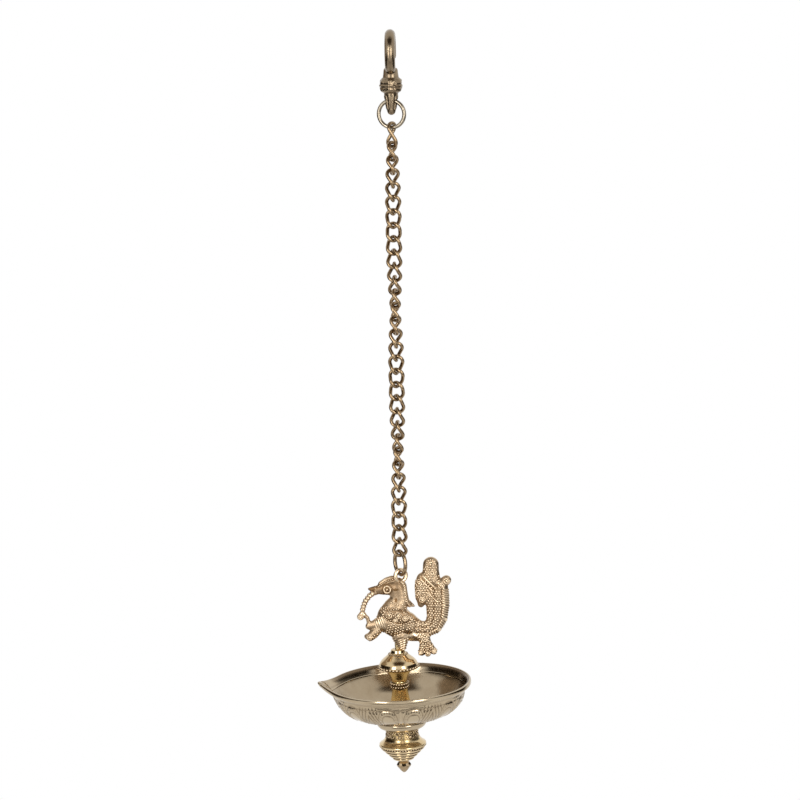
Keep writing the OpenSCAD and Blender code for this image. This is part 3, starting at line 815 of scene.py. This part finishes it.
FOOT = [(2.4, 10, 6.4), (2.8, 6, 4.8), (3.0, 2.6, 3.5), (3.0, 0.9, 3.1)]
SCROLL = [(-13, 15.4, 3.6), (-16.5, 11.8, 3.6), (-19, 9.8, 3.2), (-21.4, 10.2, 2.0)]
HACKLE = [(9, 33.5, 2.2), (11.5, 31.6, 1.5), (13.2, 30.6, 0.8)]
WING_MASS, WING_Y = [(-6.5, 27.4, 3.2), (-1, 26, 5.4), (5, 24, 4.6), (10.6, 22, 1.6)], 6.2
MANE, MANE_Y = [(5.2, 49.2, 1.5), (7.0, 45.5, 1.8), (7.4, 40, 1.9), (8.0, 35, 2.0), (10, 31.8, 1.5)], 2.7
GARLAND = [(-11.6, 42.6, 2.0), (-17.2, 40.6, 2.0), (-21.2, 35.8, 2.0), (-23.2, 30.8, 2.0),
           (-23.6, 27.6, 1.9)]
GARLAND_END = [(-23.4, 27, 1.6), (-20.2, 23.6, 1.5), (-19.2, 18.2, 1.6), (-15.6, 14.6, 2.2)]
GARLAND_KNOB = [(-23.8, 26.6, 1.7), (-25.2, 24.8, 2.6)]
print("stations of the tail:", len(TAIL))

# %% Rows of balls
def row(bm, stations, flat, y=0.0, gap=0.4):
    """Balls along a row; flat is their thickness in shares, gap their spacing in radii."""
    places = []
    for (x0, z0, r0), (x1, z1, r1) in zip(stations, stations[1:]):
        count = max(1, math.ceil(math.hypot(x1 - x0, z1 - z0) / (gap * min(r0, r1))))
        for k in range(count + 1):
            t = k / count
            size = r0 + (r1 - r0) * t
            places.append(ball_place((x0 + (x1 - x0) * t, y, z0 + (z1 - z0) * t),
                                     (size, flat * size, size)))
    balls(bm, places, sides=18, rows=12)


core = bmesh.new()
for stations, flat in ((BODY, 0.72), (NECK, 0.72), (HEAD, 0.7), (NAPE, 0.72), (BEAK, 0.62),
                       (TAIL, 0.56), (FAN, 0.6), (CROWN, 0.62), (TAIL_KNOB, 0.75), (FAN_TIP, 0.75),
                       (CREST, 0.6), (UNDERSIDE, 0.8), (BREAST_WEB, 0.7),
                       *((lobe, 0.85) for lobe in LOBES), (FOOT, 1.0), (SCROLL, 0.9), (HACKLE, 0.8)):
    row(core, stations, flat)
for side in (-1, 1):
    row(core, WING_MASS, 0.5, WING_Y * side)
    row(core, MANE, 0.8, MANE_Y * side)
row(core, GARLAND, 0.95, gap=0.95)
row(core, GARLAND_END, 0.95, gap=0.9)
row(core, GARLAND_KNOB, 0.95)
print("balls of the bird, faces:", len(core.faces))

# %% One skin over the balls
VOXEL = 0.42
SMOOTHINGS = 5

rough = mesh_object(core, "bird_balls")
skin = rough.modifiers.new("skin", "REMESH")
skin.mode = "VOXEL"
skin.voxel_size = VOXEL
skinned = applied(rough)
bpy.data.objects.remove(rough)
bird = bmesh.new()
bird.from_mesh(skinned)
bpy.data.meshes.remove(skinned)
for _ in range(SMOOTHINGS):
    bmesh.ops.smooth_vert(bird, verts=bird.verts[:], factor=0.5, use_axis_x=True, use_axis_y=True,
                          use_axis_z=True)
bird.normal_update()
print("skin of the bird, faces:", len(bird.faces))

# %% [markdown]
# ## Ribs and grooves of the casting
# The tail is three strands, of which the outer one is ribbed. The garland and the
# foot are banded, and strokes run down the breast. Each is a wave along or across
# its own row of stations, so every point of the skin looks for the nearest place on
# that row and moves in or out by the wave's height. Sculpting by hand would give the
# same, but could not be run again. How dark each point is goes into an attribute:
# painted shade in the grooves and troughs, in the gaps of the plume and round the
# bars and the eyes, painted shade over the bare skin of neck and head, and the dark
# spots on the head.

# %% Places along a row
def along(stations, x, z):
    """Length along the row, offset across it over its half width, and how far off."""
    best, gone = None, 0.0
    for (x0, z0, r0), (x1, z1, r1) in zip(stations, stations[1:]):
        dx, dz = x1 - x0, z1 - z0
        length = math.hypot(dx, dz)
        t = share(((x - x0) * dx + (z - z0) * dz) / length ** 2)
        off = math.hypot(x - x0 - t * dx, z - z0 - t * dz)
        if best is None or off < best[2]:
            side = math.copysign(1, (z - z0) * dx - (x - x0) * dz)
            best = (gone + t * length, side * off / (r0 + (r1 - r0) * t), off)
        gone += length
    return best


def inside_of(corners, x, z):
    """True inside a polygon: a line from the point crosses its edges an odd number of times."""
    inside = False
    for (x0, z0), (x1, z1) in zip(corners, corners[1:] + corners[:1]):
        if (z0 > z) != (z1 > z) and x < x0 + (x1 - x0) * (z - z0) / (z1 - z0):
            inside = not inside
    return inside


print("length of the tail in mm:", round(along(TAIL, *TAIL[-1][:2])[0], 1))

# %% The tail and the head
STRAND, TAIL_END = 0.36, 44
BARS = (((21.2, 52.4), (29, 43.6), 0.95), ((19.2, 50.2), (26.4, 42.2), 0.85),
        ((23.4, 40.4), (30, 34), 0.8))
EYE_X, EYE_Z = -5.2, 44.4
ALMOND_X, ALMOND_Z = 0.8, 44.2
THROAT_X, THROAT_Z = 0.6, 36.6
BEAK_TIP_X = -12.8
BROW = [(-12.5, 45.8, 1), (-8.4, 48.2, 1), (-4.4, 50.4, 1), (0.6, 51.4, 1)]


def tail_relief(x, z, facing, dark):
    """Grooves between the strands and ribs on the outer one, with painted shade in the grooves, in the
    troughs of the ribs and round the bars.
    """
    lift = 0.0
    length, across, _ = along(TAIL[1:], x, z)
    if abs(across) < 1.05 and length < TAIL_END:
        groove = ridge(abs(across) - STRAND, 0.13)
        lift -= 0.75 * groove
        if across < -STRAND:
            rib = wave(length + 2 * abs(across), 1.7)
            lift += 0.3 * rib
            dark = 0.4 - 0.4 * rib
        dark = max(dark, groove * facing)
    for start, end, size in BARS:
        off = along([(*start, 1), (*end, 1)], x, z)[2]
        dark = max(dark, ridge(off - 1.9 * size, 0.9))
    return lift, dark


def head_shade(x, z, dark):
    """Painted shade over the bare skin of neck and head, darker upwards, with its darkest spots."""
    neck_off, head_off = along(NECK[2:], x, z)[1], along(HEAD + BEAK[1:], x, z)[1]
    bare = share((0.95 - min(abs(neck_off) + 0.25, abs(head_off))) / 0.15)
    # Painted shade over the bare skin, darker towards the top.
    dark += (0.8 + 0.02 * (z - 44) - dark) * bare
    almond = math.hypot((x - ALMOND_X) / 2.8, (z - ALMOND_Z) / 1.1)
    throat = math.hypot((x - THROAT_X) / 1.2, (z - THROAT_Z) / 2.0)
    from_eye = math.hypot(x - EYE_X, z - EYE_Z)
    # Painted shade round the eye's ball and round its ring of beads.
    socket = 2 * max(ridge(from_eye - 1.5, 0.8), ridge(from_eye - 3.5, 0.7))
    brow = 3 - 2.4 * along(BROW, x, z)[2]
    tip = (BEAK_TIP_X - x) / 1.2 if z > 43 else 0.0
    spots = max(3 - 2.6 * min(almond, throat), socket, brow, tip)
    return max(dark, min(spots, 1.0))


print("darkness in the almond:", head_shade(ALMOND_X, ALMOND_Z, 0.0))

# %% Sculpt the skin
FAR = 99
TAIL_BOX, HEAD_BOX, PLUME_BOX = (11, FAR, 8, FAR), (-FAR, 12, 33, FAR), (13, FAR, -FAR, 8)
GARLAND_BOX, FOOT_BOX, BREAST_BOX = (-FAR, -13.5, 13, FAR), (-4.5, 8.5, -FAR, 8.6), (-15, -7.5, 12, 25)
PLAIN_BOXES = ((8, 16, 21, 32), (5, 12, 4, 12))
WING = [(-9.4, 28.6), (-6, 31.2), (-0.5, 31.4), (5, 28.8), (9.5, 24.6), (11.8, 21.8), (8, 20.2),
        (3, 19.6), (-3, 20.8), (-8, 24.6)]
PLUME_GAPS = [[(19.1, 4, 1), (19.0, -6, 1)], [(20.7, 4, 1), (23.5, -6, 1)]]


def in_box(box, x, z):
    left, right, low, high = box
    return left < x < right and low < z < high


cut_layer = bird.verts.layers.float.new("cut")
for point in bird.verts:
    x, y, z = point.co
    facing = share((abs(point.normal.y) - 0.35) / 0.25)
    # Base darkness, higher where the skin faces the sides.
    lift, dark = 0.0, 0.35 + 0.3 * facing
    if in_box(TAIL_BOX, x, z):
        lift, dark = tail_relief(x, z, facing, dark)
    if any(in_box(box, x, z) for box in PLAIN_BOXES):
        dark = 0.3
    if inside_of(WING, x, z):
        dark = 0.85 * facing
    if in_box(PLUME_BOX, x, z):
        # Painted shade in the gaps between the plume's lobes.
        gap = max(ridge(along(line, x, z)[2], 1.0) for line in PLUME_GAPS)
        lift -= 0.5 * gap
        dark = max(dark, gap)
    # Painted shade in the troughs of the waves of the garland, the foot and the breast.
    if in_box(GARLAND_BOX, x, z):
        length, _, off = along(GARLAND, x, z)
        if off < 2.6:
            band = wave(length, 2.3)
            lift, dark = 0.3 * band, 0.35 - 0.35 * band
    if in_box(FOOT_BOX, x, z):
        band = wave(z - 0.35 * x, 1.75)
        lift, dark = 0.42 * band, 0.4 - 0.4 * band
    if in_box(BREAST_BOX, x, z):
        stroke = wave(x + 0.35 * z, 1.7)
        lift, dark = 0.3 * stroke * min(1, (BREAST_BOX[1] - x) / 2), 0.35 - 0.35 * stroke
    if in_box(HEAD_BOX, x, z):
        dark = head_shade(x, z, dark)
    point[cut_layer] = dark
    point.co += point.normal * lift
bird.normal_update()
bird_tree = BVHTree.FromBMesh(bird)
print("points sculpted:", len(bird.verts))

# %% [markdown]
# ## Feathers, beads and eyes
# The casting is covered with small raised dots in rows that follow the body. A
# texture could draw them, but real dots catch the light and show in the outline. Each
# is a flattened ball set where a straight line from the side meets the skin. Borders
# and scrolls of beads, raised bars and round eyes finish the bird.

# %% Dots on the skin
OUTSIDE_Y, LEAST_FACING = 40, 0.4


def facing_turn(normal):
    return normal.to_track_quat("Z", "Y").to_matrix().to_4x4()


def on_skin(x, z, side):
    """The point and normal of the skin seen from one side, or None."""
    place, normal, _, _ = bird_tree.ray_cast(Vector((x, OUTSIDE_Y * side, z)), Vector((0, -side, 0)))
    return (place, normal) if place is not None and abs(normal.y) > LEAST_FACING else None


def dots_at(x, z, size, proud=0.55):
    """The places of a dot on both sides, without one where the skin turns away."""
    places = []
    for side in (-1, 1):
        hit = on_skin(x, z, side)
        if hit:
            places.append(ball_place(hit[0], (size, size, size * proud), facing_turn(hit[1])))
    return places


print("dots for one place on the body:", len(dots_at(*BODY[1][:2], 1)))

# %% Rows of feathers
ROW_STEP = 0.87


def feather_rows(stations, pitch, size, margin=0.6, least=-1.0, most=1.0):
    """Rows of dots across a limb, every other row set half a step aside."""
    places, step = [], 0
    for (x0, z0, r0), (x1, z1, r1) in zip(stations, stations[1:]):
        length = math.hypot(x1 - x0, z1 - z0)
        ahead = Vector((x1 - x0, z1 - z0)) / length
        for k in range(max(1, round(length / (pitch * ROW_STEP)))):
            t = k * pitch * ROW_STEP / length
            half = r0 + (r1 - r0) * t - margin
            count = int(half / pitch)
            for i in range(-count, count + 1):
                across = (i + 0.5 * (step % 2)) * pitch
                if abs(across) > half or not least * half <= across <= most * half:
                    continue
                x = x0 + (x1 - x0) * t - ahead.y * across
                z = z0 + (z1 - z0) * t + ahead.x * across
                if not inside_of(WING, x, z):
                    places += dots_at(x, z, size)
            step += 1
    return places


dots = feather_rows(BODY, 2.0, 0.84) + feather_rows(NECK[:2], 1.9, 0.78)
dots += feather_rows(NECK[1:], 1.7, 0.72, margin=0.3, most=-0.6)
dots += feather_rows(TAIL, 1.9, 0.8, margin=0.5, least=-STRAND) + feather_rows(FAN, 1.9, 0.8)
dots += feather_rows(CROWN, 1.9, 0.8) + feather_rows(SCROLL, 1.7, 0.7)
for lobe in LOBES:
    dots += feather_rows(lobe, 1.8, 0.85, margin=0.0)
print("dots:", len(dots))

# %% Borders and scrolls of beads
CURL_BEAD, CURL_BEADS = 0.78, 18
COLLAR = [(-4.4, 36.2), (-1, 34.2), (3, 33.2), (6.4, 33.4)]
NECK_BAND = [(5.6, 49.6), (7.2, 45.5), (7.6, 40), (8.2, 35), (10, 32)]
CURLS = ((-4.6, 26.6, 2.9, 1), (1.6, 26.6, 2.7, -1), (6.6, 23.6, 2.2, 1), (-0.6, 22.4, 1.7, 1),
         (17.6, 47.6, 3.0, 1), (17.0, 40.8, 2.8, -1), (19.2, 35.4, 2.3, 1), (26.4, 61, 3.4, 1),
         (26.8, 54.6, 2.6, -1), (33, 45, 2.2, 1), (37, 48.4, 2.2, -1), (15.7, -3.6, 1.7, 1),
         (21.2, -4.2, 1.7, -1), (26, -3.2, 1.7, 1), (-19.4, 9.8, 2.2, 1), (-25.2, 24.8, 1.9, 1))


def bead_line(points, size):
    """Beads of one size along a smooth line through the points."""
    places, gone = [], 0.0
    line = through(points, 12)
    for a, b in zip(line, line[1:]):
        gone += math.hypot(b[0] - a[0], b[1] - a[1])
        if gone >= 1.75 * size:
            gone = 0.0
            places += dots_at(*b, size, 0.8)
    return places


def curl_beads(x, z, reach, hand):
    """A scroll: beads on a spiral that tightens to a larger bead in the middle."""
    places = dots_at(x, z, CURL_BEAD * 1.5, 0.9)
    for k in range(CURL_BEADS):
        angle, far = math.radians(30 * k * hand), reach * (1 - k / 26)
        places += dots_at(x + far * math.cos(angle), z + far * math.sin(angle), CURL_BEAD, 0.9)
    return places


wing_top, wing_low = WING[:6], WING[:1] + WING[:4:-1]
for border, size in ((wing_top, 0.8), (wing_low, 0.8), (COLLAR, 0.85), (NECK_BAND, 0.8),
                     ([(x, z) for x, z, _ in BROW], 0.62)):
    dots += bead_line(border, size)
for curl in CURLS:
    dots += curl_beads(*curl)
print("dots and beads:", len(dots))

# %% Grain of the wings, bars and eyes
GRAIN, GRAIN_ROWS, GRAIN_COUNT = 1.8, 8, 12
GRAIN_X, GRAIN_Z = -9.4, 19.6
BAR_DOTS = 24
EYE_R, EYE_RING_R, EYE_BEADS = 0.9, 2.4, 20
CAST_SHARP = math.radians(75)

for i in range(GRAIN_ROWS):
    for k in range(GRAIN_COUNT):
        x, z = GRAIN_X + GRAIN * (k + 0.5 * (i % 2)), GRAIN_Z + ROW_STEP * GRAIN * i
        free = all(math.hypot(x - cx, z - cz) > reach + 0.7 for cx, cz, reach, _ in CURLS)
        if free and inside_of(WING, x, z):
            dots += dots_at(x, z, 0.7)
for start, end, size in BARS:
    for k in range(BAR_DOTS + 1):
        at = [a + (b - a) * k / BAR_DOTS for a, b in zip(start, end)]
        dots += dots_at(*at, size, 1.2)
for side in (-1, 1):
    place, normal = on_skin(EYE_X, EYE_Z, side)
    face = facing_turn(normal)
    dots.append(ball_place(place, EYE_R, face))
    for i in range(EYE_BEADS):
        turn = Matrix.Rotation(FULL_TURN * i / EYE_BEADS, 4, "Z")
        dots.append(Matrix.Translation(place) @ face @ turn @ ball_place((EYE_RING_R, 0, 0), CURL_BEAD))
print("raised parts of the bird:", len(dots))
balls(bird, dots, sides=6, rows=4)
finish_piece(bird, "bird_casting", bird_brass, "lamp", bird_space, ["bird"], CAST_SHARP)

# %% [markdown]
# ## Chain, rings and rod
# The chain is a twisted curb chain, and two rings join it to the hook and the bird.
# Their solids already have their true bends, and new ones could only copy them, so
# they stay and only take their finish.

# %% Dress the solids that stay
for name, node in nodes.items():
    finish = (chain_brass if name.startswith("chain_link") or name == "lower_ring"
              else {"top_ring": ring_brass, "crest_loop": bird_brass, "tie_rod": rod_brass,
                    "ceiling_hook": hook_brass}.get(name, turned_brass))
    node.data.materials.clear()
    node.data.materials.append(finish)
print("dressed solids:", len(nodes))

# %% [markdown]
# ## Floor and sky
# The camera and the metal see a white sweep. Lamps that made it white would bleach
# the brass, so the floor and the sky glow only for the rays of the camera and of
# reflections, and light the room softly for all others.

# %% Floor and sky
FLOOR_DROP, FLOOR_BACK, FLOOR_HALF = 0.35, 2, 6


def white_where_seen(wire):
    """1 for the rays of the camera and of metal and glass, 0 for the light of the room."""
    camera_ray = wire.add("LightPath", out="Is Camera Ray")
    metal_ray = wire.add("LightPath", out="Is Glossy Ray")
    glass_ray = wire.add("LightPath", out="Is Transmission Ray")
    return wire.maths("MAXIMUM", wire.maths("MAXIMUM", camera_ray, metal_ray), glass_ray)


sweep = bmesh.new()
bmesh.ops.create_grid(sweep, x_segments=1, y_segments=1, size=FLOOR_HALF,
                      matrix=Matrix.Translation((0, FLOOR_BACK, cad_low.z - FLOOR_DROP)))
floor = mesh_object(sweep, "studio_floor")
paper = bpy.data.materials.new("white_paper")
wire = bare_tree(paper)
matte = wire.add("BsdfDiffuse", {"Color": rgb(0.85, 0.85, 0.85)})
glow = wire.add("Emission", {"Color": rgb(1, 1, 1)})
shown = wire.add("MixShader", {0: white_where_seen(wire), 1: matte, 2: glow})
wire.add("OutputMaterial", {"Surface": shown})
floor.data.materials.append(paper)

sky = bpy.data.worlds.new("studio_sky")
scene.world = sky
wire = bare_tree(sky)
soft = wire.add("Background", {"Color": rgb(0.95, 0.97, 1.0), "Strength": 0.55})
white = wire.add("Background", {"Color": rgb(1, 1, 1)})
shown = wire.add("MixShader", {0: white_where_seen(wire), 1: soft, 2: white})
wire.add("OutputWorld", {"Surface": shown})
print("floor at z", cad_low.z - FLOOR_DROP)

# %% [markdown]
# ## Strip lamps and felt cards
# Polished metal looks flat in a white room, because it has nothing to reflect. Two
# tall strip lamps put long highlights on it, and dark felt cards draw the shapes in
# the dish and the dome. The cards thin out towards their edges, since a hard edge
# would show as a black rectangle. The camera sees neither lamps nor cards.

# %% Place the strip lamps and the cards
CARD_SOLID = 0.65
CARD_STEPS = 24
STRIP_AIM = (0, 0, -0.3)
STRIP_W, STRIP_TALL, STRIP_POWER = 0.5, 1.4, 13
BLACK_FELT, BROWN_FELT, GREY_FELT = rgb(0.04, 0.03, 0.02), rgb(0.12, 0.08, 0.05), rgb(0.5, 0.4, 0.3)
TOP_FELT = rgb(0.11, 0.075, 0.045)


def aimed(place, target, front):
    """The matrix of a thing at a place whose front looks at the target."""
    turn = (Vector(target) - Vector(place)).to_track_quat(front, "Y")
    return Matrix.Translation(place) @ turn.to_matrix().to_4x4()


def strip_lamp(name, place):
    """A tall lamp for a long highlight, hidden from the camera."""
    data = bpy.data.lights.new(name, "AREA")
    data.shape, data.size, data.size_y, data.energy = "RECTANGLE", STRIP_W, STRIP_TALL, STRIP_POWER
    lamp = bpy.data.objects.new(name, data)
    scene.collection.objects.link(lamp)
    lamp.matrix_world = aimed(place, STRIP_AIM, "-Z")
    lamp.visible_camera = False


def card(name, wide, tall, place, target, colour, roll=0):
    """A felt card that the metal reflects; it thins out towards its edges."""
    sheet = bmesh.new()
    bmesh.ops.create_grid(sheet, x_segments=CARD_STEPS, y_segments=CARD_STEPS, size=0.5)
    fade = sheet.verts.layers.float.new("fade")
    for point in sheet.verts:
        edge = 2 * max(abs(point.co.x), abs(point.co.y))
        point[fade] = share((edge - CARD_SOLID) / (1 - CARD_SOLID))
    sheet.transform(aimed(place, target, "Z") @ Matrix.Rotation(math.radians(roll), 4, "Z")
                    @ Matrix.Diagonal((wide, tall, 1, 1)))
    board = mesh_object(sheet, name)
    felt = bpy.data.materials.new(name + "_felt")
    wire = bare_tree(felt)
    thin = wire.add("Attribute", out="Fac", attribute_name="fade")
    cloth = wire.add("BsdfDiffuse", {"Color": colour})
    gone = wire.add("BsdfTransparent")
    wire.add("OutputMaterial", {"Surface": wire.add("MixShader", {0: thin, 1: cloth, 2: gone})})
    board.data.materials.append(felt)
    board.visible_camera = False


card("dark_above", 1.1, 0.76, (0, -0.36, 0.5), (0, -0.36, -0.5), TOP_FELT)
card("low_front", 1.6, 0.3, (0, -0.6, -0.85), (0, 0, -0.5), BROWN_FELT)
for side, name in ((-1, "left"), (1, "right")):
    card("dark_" + name, 1.3, 0.48, (0.62 * side, 0, -0.34), (0, 0, -0.34), BLACK_FELT, 20 * side)
    strip_lamp(name + "_strip", (0.85 * side, -1.5, 0.1))
card("grey_left", 0.9, 0.9, (-0.8, 0.45, -0.1), (0, 0, -0.4), GREY_FELT)
scene.view_settings.view_transform = "Standard"
print("lamps:", len(bpy.data.lights))
